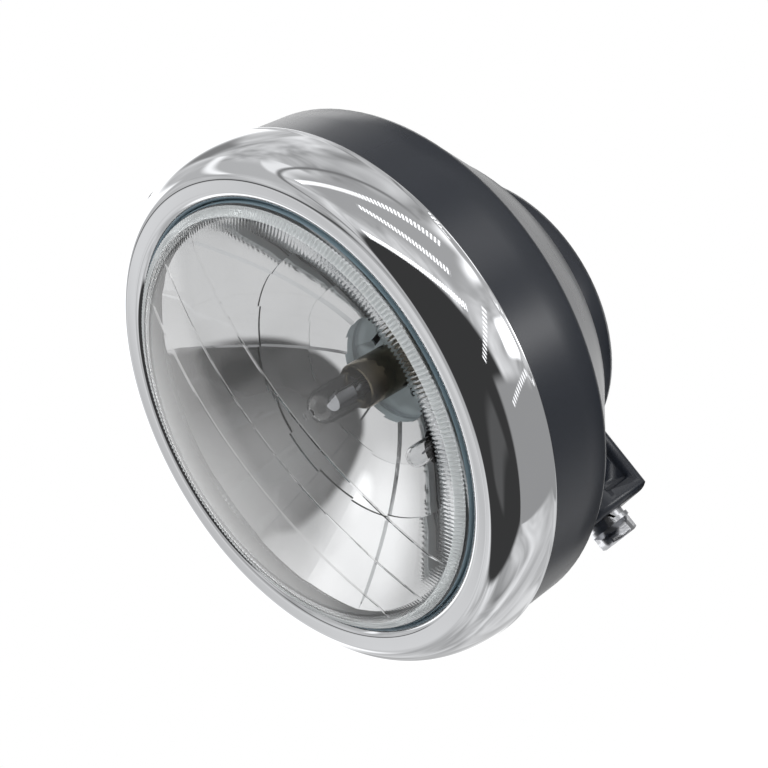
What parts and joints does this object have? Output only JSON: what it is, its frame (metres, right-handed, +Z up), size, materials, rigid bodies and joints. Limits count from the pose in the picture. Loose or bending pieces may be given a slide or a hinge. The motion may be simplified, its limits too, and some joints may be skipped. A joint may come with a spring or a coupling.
{
  "type": "motorcycle headlamp",
  "caption": "Round motorcycle headlamp: chromed rim, domed reeded lens, faceted reflector and a dark closed housing with a bolted lower ear.",
  "frame": {"origin": "underside of the ear, on the axis of the mounting bolt", "axes": "+Z up, the lens faces -Y, +X to the right as seen from in front of the lens"},
  "size_m": [0.1906, 0.1157, 0.1906],
  "materials": {
    "chrome": "polished",
    "lens_glass": "clear, moulded reeds and flutes",
    "bulb_glass": "clear",
    "aluminised": "vapour-deposited aluminium",
    "graphite_plastic": "satin moulded",
    "zinc_steel": "bright zinc plate",
    "brass": "turned",
    "bulb_cap": "moulded",
    "rubber": "matt",
    "tungsten": "drawn wire"
  },
  "bodies": {
    "root": {"rim": "chrome", "rim_hook": "zinc_steel", "rim_screw": "zinc_steel", "rim_nut": "zinc_steel", "lens": "lens_glass", "lens_seal": "rubber", "reflector": "aluminised", "unit_clips": "zinc_steel", "bulb_seat": "zinc_steel", "seat_screws": "zinc_steel", "bulb_flange": "zinc_steel", "bulb_sleeve": "brass", "bulb_glass": "bulb_glass", "bulb_shield": "zinc_steel", "bulb_filaments": "tungsten", "bulb_base": "bulb_cap", "bulb_terminals": "zinc_steel", "bulb_spring": "zinc_steel", "bulb_boot": "rubber", "position_bulb": "bulb_glass", "position_filament": "tungsten", "position_holder": "rubber", "housing": "graphite_plastic", "cable_grommet": "rubber", "mount_insert": "brass", "mount_bolt": "zinc_steel", "spring_washer": "zinc_steel", "flat_washer": "zinc_steel"}
  },
  "joints": []
}
